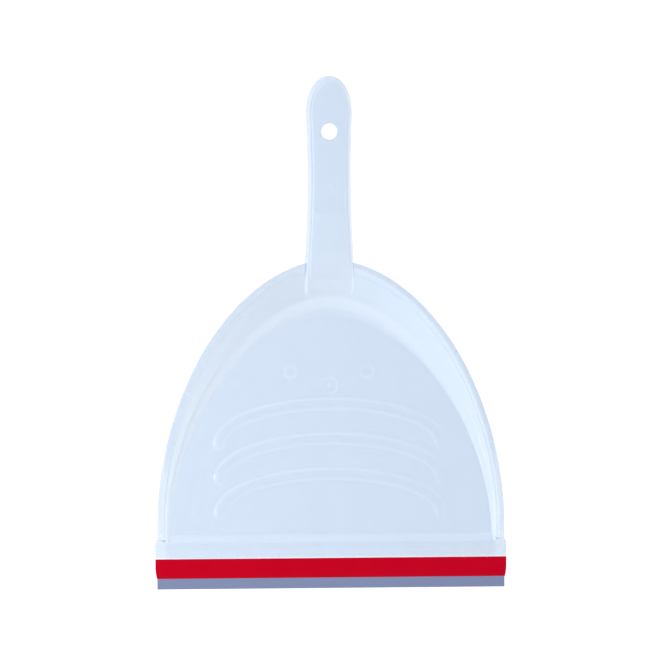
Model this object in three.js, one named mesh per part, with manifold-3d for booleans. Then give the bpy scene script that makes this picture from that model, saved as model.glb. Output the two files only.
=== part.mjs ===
// Dustpan: a clear moulded pan with a hollow handle, a rigid lip strip and a soft lip blade.
// Millimetres, +Z up. The pan lies on its floor, its open front faces -Y and its handle points to +Y.
// Every distance "along" the pan is measured from the front edge of the blade.

import * as THREE from 'three';
import { LoftGeometry } from 'three/addons/geometries/LoftGeometry.js';
import { mergeVertices } from 'three/addons/utils/BufferGeometryUtils.js';
import Module from 'manifold-3d';

const wasm = await Module();
wasm.setup();

// ---- driving dimensions -------------------------------------------------------------------

// Thicknesses and gaps
const WALL = 2.0; // pan floor, pan walls and handle channel
const FIT = 0.3; // clearance between the pan, the strip and the blade
const OVERCUT = 3.0; // how far a cutting body reaches past what it cuts

// Overall
const OVERALL_LENGTH = 328;
const LIP_HALF_WIDTH = 112.8; // the apron, at the strip
const BLADE_REACH = 6.8; // blade in front of the strip
const STRIP_DEPTH = 12.6; // the strip, front to back
const APRON_DEPTH = 15.8; // strip to pan floor

// Pan outline in plan: straight front sides that run into a round back
const RIM_SETBACK = 1.3; // rim inside the apron's ends
const RIM_BACK = 211;
const RIM_SHOULDER = 41.9; // where the rim's straight sides end
const RIM_ROUNDNESS = 1.89;
const SIDE_LEAN = 8; // rim's edge to the floor's edge at the sides
const BACK_LEAN = 35.5; // and at the back
const FLOOR_SHOULDER = 34.5;
const FLOOR_ROUNDNESS = 1.83;
const OUTLINE_STEPS = 48;

// Pan wall and rim
const RIM_FRONT_HEIGHT = 12; // rim above the table at the front of the floor
const RIM_BACK_HEIGHT = 46; // rim above the table at the back of the pan
const FLANGE_WIDTH = 3.0;
const FLANGE_THICKNESS = 2.0;
const WALL_TOE = 0.24; // where the wall's line meets the floor, as a share of its lean
const WALL_FILLET = 0.2; // height of the fillet, as a share of the wall's height
const FILLET_STEPS = 4;
const WALL_FRONT_GAP = 10.8; // strip to the front ends of the side walls
const WALL_FRONT_RADIUS = 6;

// Apron: a low ramp between the strip and the floor
const CREST_SETBACK = 9.2; // strip to the crest of the ramp
const CREST_HEIGHT = 4.2; // top of the crest above the table
const TONGUE_LIFT = 1.3; // underside of the tongue above the table
const TONGUE_SETBACK = 2.2; // tongue ends inside the strip's ends

// Ribs on the pan floor
const RIB_COUNT = 3;
const RIB_PITCH = 22.5;
const RIB_FIRST_CROWN = 73.5; // crown of the front rib
const RIB_SIDE_MARGIN = 32.5; // floor's edge to the ends of the ribs
const RIB_ARCH = 25;
const RIB_WIDTH = 7.7;
const RIB_HEIGHT = 1.2;
const RIB_STEPS = 22;

// Handle
const FACE_TO_SKIRT = 2.7; // how far the sides flare out below the face
const SHOULDER_DROP = 1.4;
const GRIP_WAIST_HALF_WIDTH = 13.75;
const GRIP_WAIST_FROM_TIP = 63;
const GRIP_ROOT_HALF_WIDTH = 15.8;
const GRIP_ROOT_INSET = 1; // the root's width is reached just inside the rim
const TIP_ROUND_LENGTH = 26.5;
const TIP_DROP = 7; // how far the face falls at the very end
const TIP_BLUNT = 0.15; // the round tip is cut off square by this much
const GRIP_RISE = 0.194; // slope of the grip
const GRIP_ABOVE_RIM = 6; // face above the rim where the handle leaves the pan
const GRIP_DEPTH_ROOT = 15;
const GRIP_DEPTH_TIP = 9.5;
const FOOT_SLOPE = 2.75; // slope of the face inside the pan
const FOOT_BEND_BEFORE = 5; // bend from foot to grip, along the pan
const FOOT_BEND_AFTER = 17;
const GUSSET_REACH = 17; // the skirts slope down to the back wall from here behind the rim
const GUSSET_FOOT = 11; // where they meet the wall, in front of the rim's back edge
const HANDLE_STATIONS = 44;
const HOLE_DIAMETER = 10.2;
const HOLE_FROM_TIP = 35.5;
const HOLE_SEGMENTS = 32;

// Lip strip and blade
const STRIP_SKIN = 1.0; // strip wall above and below the tongue
const STRIP_WEB = 1.2; // strip wall between the tongue and the blade's bead
const MOUTH_LENGTH = 1.1; // the strip's front lips, which hold the bead in
const STRIP_END_TAPER = 1.0;
const STRIP_EDGE = 0.7;
const BEAD_HEIGHT = 1.8;
const BEAD_LENGTH = 1.8;
const NECK_HEIGHT = 1.0;
const BLADE_ROOT = 1.7;
const BLADE_TIP = 0.8;
const BLADE_END_SETBACK = 1.2; // blade ends inside the strip's ends

// ---- places worked out from them ------------------------------------------------------------

const STRIP_FRONT = BLADE_REACH;
const STRIP_BACK = STRIP_FRONT + STRIP_DEPTH;
const FLOOR_FRONT = STRIP_BACK + APRON_DEPTH;
const STRIP_TOP = TONGUE_LIFT + WALL + FIT + STRIP_SKIN;
const MOUTH_BACK = STRIP_FRONT + MOUTH_LENGTH;
const WEB_FRONT = MOUTH_BACK + BEAD_LENGTH + 2 * FIT;
const TONGUE_FRONT = WEB_FRONT + STRIP_WEB + FIT;
const BLADE_MIDDLE = STRIP_TOP / 2 - FIT;
const RIM_HALF_WIDTH = LIP_HALF_WIDTH - RIM_SETBACK;
const FLOOR_HALF_WIDTH = RIM_HALF_WIDTH - SIDE_LEAN;
const FLOOR_BACK = RIM_BACK - BACK_LEAN;
const RIB_HALF_SPAN = FLOOR_HALF_WIDTH - RIB_SIDE_MARGIN;
const GRIP_ROOT_AT = RIM_BACK - GRIP_ROOT_INSET;
const GRIP_WAIST_AT = OVERALL_LENGTH - GRIP_WAIST_FROM_TIP;
const WALL_FRONT = STRIP_BACK + WALL_FRONT_GAP;
const RIM_SLOPE = (RIM_BACK_HEIGHT - RIM_FRONT_HEIGHT) / (RIM_BACK - FLOOR_FRONT);
const WALL_INSET = FLANGE_WIDTH + WALL; // rim's edge to the inner face of the wall
const HOLE_AT = OVERALL_LENGTH - HOLE_FROM_TIP;

// ---- helpers --------------------------------------------------------------------------------

function solid(geometry) {
  const bare = new THREE.BufferGeometry().copy(geometry);
  bare.deleteAttribute('normal');
  bare.deleteAttribute('uv');
  const merged = mergeVertices(bare, 1e-4);
  const vertProperties = new Float32Array(merged.attributes.position.array);
  const triVerts = new Uint32Array(merged.index.array);
  return new wasm.Manifold(new wasm.Mesh({ numProp: 3, vertProperties, triVerts }));
}

function surface(body) {
  const mesh = body.getMesh();
  const geometry = new THREE.BufferGeometry();
  geometry.setAttribute('position', new THREE.BufferAttribute(mesh.vertProperties, 3));
  geometry.setIndex(new THREE.BufferAttribute(mesh.triVerts, 1));
  geometry.computeVertexNormals();
  return geometry;
}

// A closed body from rings of points; each ring runs anticlockwise seen from the last one.
function loft(rings) {
  return solid(new LoftGeometry(rings, { capStart: true, capEnd: true }));
}

// A side profile, drawn as distance along the pan and height, carried across the pan.
function across(shape, halfWidth) {
  const geometry = new THREE.ExtrudeGeometry(shape, {
    depth: 2 * halfWidth,
    bevelEnabled: false,
    curveSegments: 10,
  });
  geometry.translate(0, 0, -halfWidth);
  const along = new THREE.Vector3(0, 1, 0);
  const up = new THREE.Vector3(0, 0, 1);
  const side = new THREE.Vector3(1, 0, 0);
  geometry.applyMatrix4(new THREE.Matrix4().makeBasis(along, up, side));
  return solid(geometry);
}

// A plan outline carried straight up.
function upright(shape, low, high) {
  const geometry = new THREE.ExtrudeGeometry(shape, {
    depth: high - low,
    bevelEnabled: false,
    curveSegments: 10,
  });
  geometry.translate(0, 0, low);
  return solid(geometry);
}

function polygon(points) {
  return new THREE.Shape(points.map(([a, b]) => new THREE.Vector2(a, b)));
}

function mirrored(points) {
  const other = points.map(([x, y]) => [-x, y]).reverse();
  return points.concat(other);
}

function finish(name, body, look) {
  const mesh = new THREE.Mesh(surface(body), new THREE.MeshStandardMaterial(look));
  mesh.name = name;
  return mesh;
}

// ---- pan bowl -------------------------------------------------------------------------------

function rimHeight(along) {
  return RIM_FRONT_HEIGHT + RIM_SLOPE * (along - FLOOR_FRONT);
}

// Plan outline from the right front, round the back, to the left front.
function outline(halfWidth, back, shoulder, roundness, front) {
  const ring = [new THREE.Vector2(halfWidth, front)];
  for (let i = 0; i <= OUTLINE_STEPS; i++) {
    const angle = (Math.PI * i) / OUTLINE_STEPS;
    const side = Math.abs(Math.cos(angle)) ** (2 / roundness) * Math.sign(Math.cos(angle));
    const length = Math.sin(angle) ** (2 / roundness);
    ring.push(new THREE.Vector2(halfWidth * side, shoulder + (back - shoulder) * length));
  }
  ring.push(new THREE.Vector2(-halfWidth, front));
  return ring;
}

function rimOutline(inset, front) {
  return outline(RIM_HALF_WIDTH - inset, RIM_BACK - inset, RIM_SHOULDER, RIM_ROUNDNESS, front);
}

function floorOutline(front) {
  return outline(FLOOR_HALF_WIDTH, FLOOR_BACK, FLOOR_SHOULDER, FLOOR_ROUNDNESS, front);
}

// The wall's section from the floor's edge (0, 0) to the rim (1, 1): a fillet, then a straight lean.
function wallSection() {
  const fillet = new THREE.QuadraticBezierCurve(
    new THREE.Vector2(0, 0),
    new THREE.Vector2(WALL_TOE, 0),
    new THREE.Vector2(WALL_TOE + (1 - WALL_TOE) * WALL_FILLET, WALL_FILLET),
  );
  return [...fillet.getPoints(FILLET_STEPS), new THREE.Vector2(1, 1)];
}

// One face of the wall, as rings from the floor up. `drop` is how far below the rim it stops.
function wallRings(inset, floorLevel, drop, front) {
  const low = floorOutline(front);
  const high = rimOutline(inset, front);
  return wallSection().map((step) =>
    high.map((top, i) => {
      const place = low[i].clone().lerp(top, step.x);
      const height = rimHeight(top.y) - drop - floorLevel;
      return new THREE.Vector3(place.x, place.y, floorLevel + height * step.y);
    }),
  );
}

function rimRing(inset, lift, front) {
  const ring = rimOutline(inset, front);
  return ring.map((point) => new THREE.Vector3(point.x, point.y, rimHeight(point.y) + lift));
}

// What the side walls keep, seen from the side: open at the front, with rounded front ends.
function wallProfile() {
  const top = rimHeight(WALL_FRONT + WALL_FRONT_RADIUS);
  const high = RIM_BACK_HEIGHT + OVERCUT;
  const end = RIM_BACK + OVERCUT;
  const shape = new THREE.Shape();
  shape.moveTo(FLOOR_FRONT, -OVERCUT);
  shape.lineTo(FLOOR_FRONT, WALL / 2);
  shape.lineTo(WALL_FRONT, WALL / 2 + TONGUE_LIFT);
  shape.lineTo(WALL_FRONT, top - WALL_FRONT_RADIUS);
  shape.quadraticCurveTo(WALL_FRONT, top, WALL_FRONT + WALL_FRONT_RADIUS, top);
  shape.lineTo(WALL_FRONT + WALL_FRONT_RADIUS, high);
  shape.lineTo(end, high);
  shape.lineTo(end, -OVERCUT);
  return shape;
}

function bowl() {
  const outerFront = TONGUE_FRONT;
  const innerFront = outerFront - OVERCUT;
  const outer = loft([
    ...wallRings(WALL_INSET - WALL, 0, FLANGE_THICKNESS, outerFront),
    rimRing(0, -FLANGE_THICKNESS, outerFront),
    rimRing(0, 0, outerFront),
  ]);
  const inner = loft([
    ...wallRings(WALL_INSET, WALL, 0, innerFront),
    rimRing(WALL_INSET, OVERCUT, innerFront),
  ]);
  return outer.subtract(inner).intersect(across(wallProfile(), LIP_HALF_WIDTH));
}

// ---- apron and tongue -----------------------------------------------------------------------

function apron() {
  const crest = STRIP_BACK + CREST_SETBACK;
  const ramp = [
    [TONGUE_FRONT, TONGUE_LIFT + WALL],
    [STRIP_BACK, TONGUE_LIFT + WALL],
    [crest - 1.5, CREST_HEIGHT - 0.1],
    [crest, CREST_HEIGHT],
    [crest + 1.5, CREST_HEIGHT - 0.3],
    [FLOOR_FRONT - 1, WALL + 0.2],
    [FLOOR_FRONT, WALL],
    [FLOOR_FRONT + OVERCUT, WALL],
  ];
  const under = ramp.map(([along, height]) => [along, height - WALL]).reverse();
  const profile = polygon(ramp.concat(under).reverse());
  const behindWalls = FLOOR_HALF_WIDTH;
  const plan = polygon(mirrored([
    [LIP_HALF_WIDTH - TONGUE_SETBACK, TONGUE_FRONT - OVERCUT],
    [LIP_HALF_WIDTH - TONGUE_SETBACK, STRIP_BACK],
    [LIP_HALF_WIDTH, STRIP_BACK],
    [LIP_HALF_WIDTH, WALL_FRONT],
    [behindWalls, FLOOR_FRONT],
    [behindWalls, FLOOR_FRONT + 2 * OVERCUT],
  ]));
  const plate = across(profile, LIP_HALF_WIDTH);
  return plate.intersect(upright(plan, -OVERCUT, CREST_HEIGHT + OVERCUT));
}

// ---- ribs -----------------------------------------------------------------------------------

// Across the rib from its inner edge: share of its half width, share of its height.
const RIB_SECTION = [[-1, -1], [-1, 0], [-0.72, 0.62], [0, 1], [0.72, 0.62], [1, 0], [1, -1]];

// A low rounded bead that follows an arch and ends in round tips.
function rib(crown) {
  const half = RIB_WIDTH / 2;
  const arch = new THREE.EllipseCurve(0, crown - RIB_ARCH, RIB_HALF_SPAN, RIB_ARCH, 0, Math.PI);
  const rings = [];
  const addRing = (centre, tangent, scale) => {
    const normal = new THREE.Vector2(-tangent.y, tangent.x);
    rings.push(RIB_SECTION.map(([side, rise]) => {
      const place = centre.clone().addScaledVector(normal, -side * half * scale);
      const height = rise < 0 ? rise * WALL / 2 : rise * RIB_HEIGHT * scale;
      return new THREE.Vector3(place.x, place.y, WALL + height);
    }));
  };
  const tips = [0.97, 0.75, 0.4];
  const start = arch.getPoint(0);
  const startTangent = arch.getTangent(0);
  for (const tip of tips) {
    const back = start.clone().addScaledVector(startTangent, -tip * half);
    addRing(back, startTangent, Math.sqrt(1 - tip * tip));
  }
  for (let i = 0; i <= RIB_STEPS; i++) {
    addRing(arch.getPoint(i / RIB_STEPS), arch.getTangent(i / RIB_STEPS), 1);
  }
  const end = arch.getPoint(1);
  const endTangent = arch.getTangent(1);
  for (const tip of tips.slice().reverse()) {
    const on = end.clone().addScaledVector(endTangent, tip * half);
    addRing(on, endTangent, Math.sqrt(1 - tip * tip));
  }
  return loft(rings);
}

// ---- handle ---------------------------------------------------------------------------------

// Height of the middle of the face before the tip falls away: foot, bend, grip.
const GRIP_START_HEIGHT = rimHeight(GRIP_ROOT_AT) + GRIP_ABOVE_RIM;
const WALL_TOP_OF_FILLET = FLOOR_BACK
  + (RIM_BACK - WALL_INSET - FLOOR_BACK) * (WALL_TOE + (1 - WALL_TOE) * WALL_FILLET);
const FOOT_AT = WALL_TOP_OF_FILLET;
const FOOT_HEIGHT = WALL + (RIM_BACK_HEIGHT - WALL) * WALL_FILLET - WALL / 2;
const BEND_AT = (GRIP_START_HEIGHT - GRIP_RISE * GRIP_ROOT_AT - FOOT_HEIGHT + FOOT_SLOPE * FOOT_AT)
  / (FOOT_SLOPE - GRIP_RISE);

function gripLine(along) {
  return GRIP_START_HEIGHT + GRIP_RISE * (along - GRIP_ROOT_AT);
}

function footLine(along) {
  return FOOT_HEIGHT + FOOT_SLOPE * (along - FOOT_AT);
}

function faceCurve() {
  const bendStart = BEND_AT - FOOT_BEND_BEFORE;
  const bendEnd = BEND_AT + FOOT_BEND_AFTER;
  const bend = new THREE.QuadraticBezierCurve(
    new THREE.Vector2(bendStart, footLine(bendStart)),
    new THREE.Vector2(BEND_AT, gripLine(BEND_AT)),
    new THREE.Vector2(bendEnd, gripLine(bendEnd)),
  );
  return bend.getPoints(24);
}

const BEND_POINTS = faceCurve();

function faceHeight(along) {
  const first = BEND_POINTS[0];
  const last = BEND_POINTS[BEND_POINTS.length - 1];
  if (along <= first.x) return footLine(along);
  if (along >= last.x) return gripLine(along);
  const next = BEND_POINTS.findIndex((point) => point.x >= along);
  const a = BEND_POINTS[next - 1];
  const b = BEND_POINTS[next];
  return THREE.MathUtils.mapLinear(along, a.x, b.x, a.y, b.y);
}

function tipShare(along, inset) {
  const start = OVERALL_LENGTH - TIP_ROUND_LENGTH;
  const share = (along - start) / (TIP_ROUND_LENGTH - inset);
  return THREE.MathUtils.clamp(share, 0, 1);
}

function tipFall(along, inset) {
  const share = tipShare(along, inset);
  return TIP_DROP * (1 - Math.sqrt(1 - share * share));
}

function skirtHalfWidth(along, inset) {
  const flare = (GRIP_ROOT_HALF_WIDTH - GRIP_WAIST_HALF_WIDTH)
    / (GRIP_WAIST_AT - GRIP_ROOT_AT) ** 2;
  const place = Math.max(along, GRIP_ROOT_AT);
  const width = GRIP_WAIST_HALF_WIDTH + flare * (place - GRIP_WAIST_AT) ** 2 - inset;
  const share = tipShare(along, inset);
  return width * Math.sqrt(1 - share * share);
}

// Middle of the back wall's thickness, beside the handle.
function backWallHeight(along) {
  const bottom = FLOOR_BACK + (RIM_BACK - FLANGE_WIDTH - FLOOR_BACK) * WALL_TOE;
  const top = RIM_BACK - FLANGE_WIDTH;
  const planSag = WALL;
  const height = RIM_BACK_HEIGHT - FLANGE_THICKNESS;
  return THREE.MathUtils.mapLinear(along + planSag, bottom, top, 0, height);
}

// Lower edge of the handle's side walls.
function skirtHeight(along) {
  const start = RIM_BACK + GUSSET_REACH;
  const foot = RIM_BACK - GUSSET_FOOT;
  if (along <= foot) return backWallHeight(along);
  if (along < start) {
    const top = gripLine(start) - GRIP_DEPTH_ROOT;
    return THREE.MathUtils.mapLinear(along, foot, start, backWallHeight(foot), top);
  }
  const share = (along - start) / (OVERALL_LENGTH - start);
  return gripLine(along) - THREE.MathUtils.lerp(GRIP_DEPTH_ROOT, GRIP_DEPTH_TIP, share);
}

// Vertical sections of the handle. `inset` 0 is the outside, WALL is the hollow.
function handleBody(inset, from, to, underside) {
  const rings = [];
  for (let i = 0; i <= HANDLE_STATIONS; i++) {
    const share = i / HANDLE_STATIONS;
    const along = from + (to - from) * (share - 0.13 * Math.sin(2 * Math.PI * share));
    const slope = (faceHeight(along + 0.1) - faceHeight(along - 0.1)) / 0.2;
    const down = inset * Math.sqrt(1 + slope * slope);
    const top = faceHeight(along) - down - tipFall(along, inset);
    const bottom = underside(along);
    const skirt = skirtHalfWidth(along, inset);
    const shrink = skirt / skirtHalfWidth(Math.min(along, OVERALL_LENGTH - TIP_ROUND_LENGTH), inset);
    const flare = FACE_TO_SKIRT * shrink;
    const shoulder = Math.max(top - SHOULDER_DROP * shrink, bottom + 0.1);
    const half = [
      [skirt, bottom],
      [skirt - flare * 0.55, shoulder],
      [skirt - flare, Math.max(top, shoulder + 0.05)],
    ];
    const ring = mirrored(half);
    rings.push(ring.map(([x, z]) => new THREE.Vector3(-x, along, z)));
  }
  return loft(rings);
}

function handle() {
  return handleBody(0, FOOT_AT - WALL / 4, OVERALL_LENGTH - TIP_BLUNT, skirtHeight);
}

function handleHollow() {
  const end = OVERALL_LENGTH - WALL - TIP_BLUNT;
  return handleBody(WALL, FOOT_AT + WALL / 2, end, () => -OVERCUT);
}

function hangingHole() {
  const height = 4 * GRIP_DEPTH_ROOT;
  const bore = new THREE.CylinderGeometry(HOLE_DIAMETER / 2, HOLE_DIAMETER / 2, height, HOLE_SEGMENTS);
  bore.rotateX(Math.PI / 2);
  bore.translate(0, HOLE_AT, faceHeight(HOLE_AT));
  return solid(bore);
}

// ---- pan ------------------------------------------------------------------------------------

function pan() {
  let body = bowl().add(apron());
  for (let i = 0; i < RIB_COUNT; i++) {
    body = body.add(rib(RIB_FIRST_CROWN + i * RIB_PITCH));
  }
  body = body.add(handle()).subtract(handleHollow()).subtract(hangingHole());
  return finish('pan', body, { color: 0xd5e3f4, roughness: 0.28, metalness: 0 });
}

// ---- lip strip and blade --------------------------------------------------------------------

function lipStrip() {
  const pocket = BEAD_HEIGHT / 2 + FIT;
  const mouth = NECK_HEIGHT / 2 + FIT;
  const slotLow = TONGUE_LIFT - FIT;
  const slotHigh = TONGUE_LIFT + WALL + FIT;
  const tongueEnd = TONGUE_FRONT - FIT;
  const frontTop = BLADE_MIDDLE + pocket + STRIP_SKIN;
  const outlineSide = [
    [STRIP_BACK, slotLow],
    [tongueEnd, slotLow],
    [tongueEnd, slotHigh],
    [STRIP_BACK, slotHigh],
    [STRIP_BACK, STRIP_TOP - STRIP_EDGE],
    [STRIP_BACK - STRIP_EDGE, STRIP_TOP],
    [(STRIP_BACK + STRIP_FRONT) / 2, STRIP_TOP - 0.1],
    [STRIP_FRONT + STRIP_EDGE, frontTop],
    [STRIP_FRONT, frontTop - STRIP_EDGE],
    [STRIP_FRONT, BLADE_MIDDLE + mouth],
    [MOUTH_BACK, BLADE_MIDDLE + mouth],
    [MOUTH_BACK, BLADE_MIDDLE + pocket],
    [WEB_FRONT, BLADE_MIDDLE + pocket],
    [WEB_FRONT, BLADE_MIDDLE - pocket],
    [MOUTH_BACK, BLADE_MIDDLE - pocket],
    [MOUTH_BACK, BLADE_MIDDLE - mouth],
    [STRIP_FRONT, BLADE_MIDDLE - mouth],
    [STRIP_FRONT, 0],
    [STRIP_BACK, 0],
  ];
  const plan = polygon(mirrored([
    [LIP_HALF_WIDTH - STRIP_END_TAPER, STRIP_FRONT - OVERCUT],
    [LIP_HALF_WIDTH - STRIP_END_TAPER, STRIP_FRONT],
    [LIP_HALF_WIDTH, STRIP_FRONT + STRIP_DEPTH * 0.55],
    [LIP_HALF_WIDTH, STRIP_BACK + OVERCUT],
  ]));
  const bar = across(polygon(outlineSide.reverse()), LIP_HALF_WIDTH + OVERCUT);
  const body = bar.intersect(upright(plan, -OVERCUT, STRIP_TOP + OVERCUT));
  return finish('lip_strip', body, { color: 0xc4001f, roughness: 0.35, metalness: 0 });
}

function lipBlade() {
  const bead = BEAD_HEIGHT / 2;
  const neck = NECK_HEIGHT / 2;
  const beadBack = WEB_FRONT - FIT;
  const beadFront = beadBack - BEAD_LENGTH;
  const shoulder = STRIP_FRONT - FIT;
  const profile = [
    [0, 0],
    [BLADE_REACH * 0.4, 0],
    [shoulder, BLADE_MIDDLE - BLADE_ROOT / 2],
    [shoulder, BLADE_MIDDLE - neck],
    [beadFront, BLADE_MIDDLE - neck],
    [beadFront, BLADE_MIDDLE - bead],
    [beadBack, BLADE_MIDDLE - bead],
    [beadBack, BLADE_MIDDLE + bead],
    [beadFront, BLADE_MIDDLE + bead],
    [beadFront, BLADE_MIDDLE + neck],
    [shoulder, BLADE_MIDDLE + neck],
    [shoulder, BLADE_MIDDLE + BLADE_ROOT / 2],
    [0, BLADE_TIP],
  ];
  const halfWidth = LIP_HALF_WIDTH - BLADE_END_SETBACK;
  return finish('lip_blade', across(polygon(profile), halfWidth), {
    color: 0x7b8bad,
    roughness: 0.6,
    metalness: 0,
  });
}

// ---- the dustpan ----------------------------------------------------------------------------

const dustpan = new THREE.Group();
dustpan.name = 'dustpan';
dustpan.add(pan(), lipStrip(), lipBlade());
dustpan.position.y = -(OVERALL_LENGTH - TIP_BLUNT) / 2;

export default dustpan;
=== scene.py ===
# Dustpan: a clear moulded pan with a hollow handle, a red lip strip and a soft grey lip blade.
# Laid out as a Blender add-on. Shapes are worked out in millimetres, as (x, distance from the
# blade's front edge, height), and are scaled and placed in the frame, in metres, at the end.

import math

import bmesh
import bpy
from mathutils import Matrix, Vector


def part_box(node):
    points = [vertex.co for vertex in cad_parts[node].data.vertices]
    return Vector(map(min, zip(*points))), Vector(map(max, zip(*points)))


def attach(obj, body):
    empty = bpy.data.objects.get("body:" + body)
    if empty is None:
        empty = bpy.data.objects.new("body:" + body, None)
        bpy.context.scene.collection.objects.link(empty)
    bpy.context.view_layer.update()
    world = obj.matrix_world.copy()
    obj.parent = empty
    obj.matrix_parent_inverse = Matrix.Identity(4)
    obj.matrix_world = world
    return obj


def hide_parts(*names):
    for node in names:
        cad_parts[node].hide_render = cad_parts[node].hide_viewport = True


bl_info = {
    "name": "Dustpan",
    "version": (1, 0, 0),
    "blender": (4, 5, 0),
    "location": "3D View > Sidebar > Dustpan",
    "description": "Builds a clear dustpan with a red lip strip and a soft blade",
    "category": "Object",
}

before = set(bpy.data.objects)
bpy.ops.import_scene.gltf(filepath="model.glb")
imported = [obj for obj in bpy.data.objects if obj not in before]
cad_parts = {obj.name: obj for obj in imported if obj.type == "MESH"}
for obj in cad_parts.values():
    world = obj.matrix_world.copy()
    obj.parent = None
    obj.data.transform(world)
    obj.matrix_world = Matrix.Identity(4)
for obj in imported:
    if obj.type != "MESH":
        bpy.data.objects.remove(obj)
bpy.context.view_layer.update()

MM = 0.001
BODY = "root"


def box_mm(node):
    """A node's corners in millimetres, its length measured from the blade's front edge."""
    low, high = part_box(node)
    return (low - ORIGIN) / MM, (high - ORIGIN) / MM


ORIGIN = Vector((0.0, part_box("lip_blade")[0].y, 0.0))
PAN_LOW, PAN_HIGH = box_mm("pan")
STRIP_LOW, STRIP_HIGH = box_mm("lip_strip")
BLADE_HALF_WIDTH = box_mm("lip_blade")[1].x


# ---- settings -------------------------------------------------------------------------------


def length(name, text, value):
    return bpy.props.FloatProperty(
        name=name, description=text, default=value, min=0.0, precision=2
    )


def colour(name, text, value):
    return bpy.props.FloatVectorProperty(
        name=name, description=text, default=value, subtype="COLOR", size=3, min=0.0, max=1.0
    )


class DustpanSizes(bpy.types.PropertyGroup):
    """Sizes in millimetres"""

    wall: length("Wall", "Thickness of the floor, the walls and the handle", 2.0)
    rim_back: length("Rim back", "Blade's front edge to the back of the rim", 211.0)
    rim_front_height: length("Rim height, front", "Rim above the table in front", 12.0)
    rim_back_height: length("Rim height, back", "Rim above the table at the back", 46.0)
    flange: length("Flange", "Width of the rim's flange", 3.0)
    rib_height: length("Rib height", "How far the floor ribs stand up", 0.9)
    rib_width: length("Rib width", "Width of a floor rib", 7.7)
    hole: length("Hanging hole", "Diameter of the hole in the handle", 10.2)


class DustpanColours(bpy.types.PropertyGroup):
    """Colours of the finished pieces"""

    pan_tint: colour("Pan tint", "What the clear plastic lets through", (0.92, 0.955, 0.992))
    pan_haze: colour("Pan haze", "Colour of the faint haze in the plastic", (0.32, 0.42, 0.565))
    strip: colour("Strip", "Colour of the rigid lip strip", (0.43, 0.0, 0.012))
    blade: colour("Blade", "Colour of the soft blade", (0.168, 0.206, 0.34))
    floor: colour("Floor", "Colour of the studio floor", (0.885, 0.885, 0.885))


def sizes():
    return bpy.context.scene.dustpan_sizes


def colours():
    return bpy.context.scene.dustpan_colours


# ---- places along the pan -------------------------------------------------------------------

STRIP_FRONT = STRIP_LOW.y
STRIP_BACK = STRIP_HIGH.y
LIP_HALF_WIDTH = STRIP_HIGH.x
TIP = PAN_HIGH.y
APRON_DEPTH = 15.8
FLOOR_FRONT = STRIP_BACK + APRON_DEPTH
WALL_FRONT = STRIP_BACK + 10.8
WALL_FRONT_RADIUS = 6.0
TONGUE_FRONT = PAN_LOW.y
TONGUE_LIFT = 1.3
CREST_SETBACK = 9.2
RIM_SHOULDER = 41.9
RIM_ROUNDNESS = 1.89
RIM_HALF_WIDTH = LIP_HALF_WIDTH - 1.3
FLOOR_HALF_WIDTH = RIM_HALF_WIDTH - 8.0
FLOOR_SHOULDER = 34.5
FLOOR_ROUNDNESS = 1.83
BACK_LEAN = 35.5
WALL_TOE = 0.24
WALL_FILLET = 0.2
FILLET_START = 0.65


# ---- mesh helpers ---------------------------------------------------------------------------


def grid(columns, rows, place):
    """A sheet of quads whose points go where place(u, v) says, u and v running from 0 to 1."""
    bm = bmesh.new()
    bmesh.ops.create_grid(bm, x_segments=columns, y_segments=rows, size=0.5)
    for vert in bm.verts:
        vert.co = place(vert.co.x + 0.5, vert.co.y + 0.5)
    return bm


def merge(bm, distance=1e-4):
    bmesh.ops.remove_doubles(bm, verts=bm.verts, dist=distance)
    bmesh.ops.dissolve_degenerate(bm, edges=bm.edges, dist=distance)


def face_out(bm):
    bmesh.ops.recalc_face_normals(bm, faces=bm.faces)
    if bm.calc_volume(signed=True) < 0:
        bmesh.ops.reverse_faces(bm, faces=bm.faces)


def piece(name, bm, smooth_angle=35.0):
    """Turns a millimetre mesh into an object in the frame, and frees it."""
    bmesh.ops.scale(bm, vec=(MM, MM, MM), verts=bm.verts)
    bmesh.ops.translate(bm, vec=ORIGIN, verts=bm.verts)
    mesh = bpy.data.meshes.new(name)
    bm.to_mesh(mesh)
    bm.free()
    for polygon in mesh.polygons:
        polygon.use_smooth = True
    mesh.set_sharp_from_angle(angle=math.radians(smooth_angle))
    made = bpy.data.objects.new(name, mesh)
    bpy.context.scene.collection.objects.link(made)
    return made


def combine(target, tool, operation):
    """Joins or cuts with a closed body, and removes that body."""
    change = target.modifiers.new(operation.lower(), "BOOLEAN")
    change.operation = operation
    change.solver = "MANIFOLD"
    change.object = tool
    bpy.context.view_layer.update()
    depsgraph = bpy.context.evaluated_depsgraph_get()
    mesh = bpy.data.meshes.new_from_object(target.evaluated_get(depsgraph))
    target.modifiers.clear()
    old = target.data
    target.data = mesh
    bpy.data.meshes.remove(old)
    bpy.data.meshes.remove(tool.data)


def mix(a, b, share):
    return a + (b - a) * share


def clamp(value, low=0.0, high=1.0):
    return max(low, min(high, value))


# ---- pan bowl -------------------------------------------------------------------------------


def rim_height(along):
    s = sizes()
    slope = (s.rim_back_height - s.rim_front_height) / (s.rim_back - FLOOR_FRONT)
    return s.rim_front_height + slope * (along - FLOOR_FRONT)


def outline(turn, half_width, back, shoulder, roundness, front):
    """A point of the plan outline: turn runs -1 to 0 up the right side, 0 to 1 round the back,
    1 to 2 down the left side."""
    if turn <= 0.0:
        return half_width, mix(shoulder, front, -turn)
    if turn >= 1.0:
        return -half_width, mix(shoulder, front, turn - 1.0)
    angle = math.pi * turn
    cosine = math.cos(angle)
    side = math.copysign(abs(cosine) ** (2.0 / roundness), cosine)
    return half_width * side, shoulder + (back - shoulder) * math.sin(angle) ** (2.0 / roundness)


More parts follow.
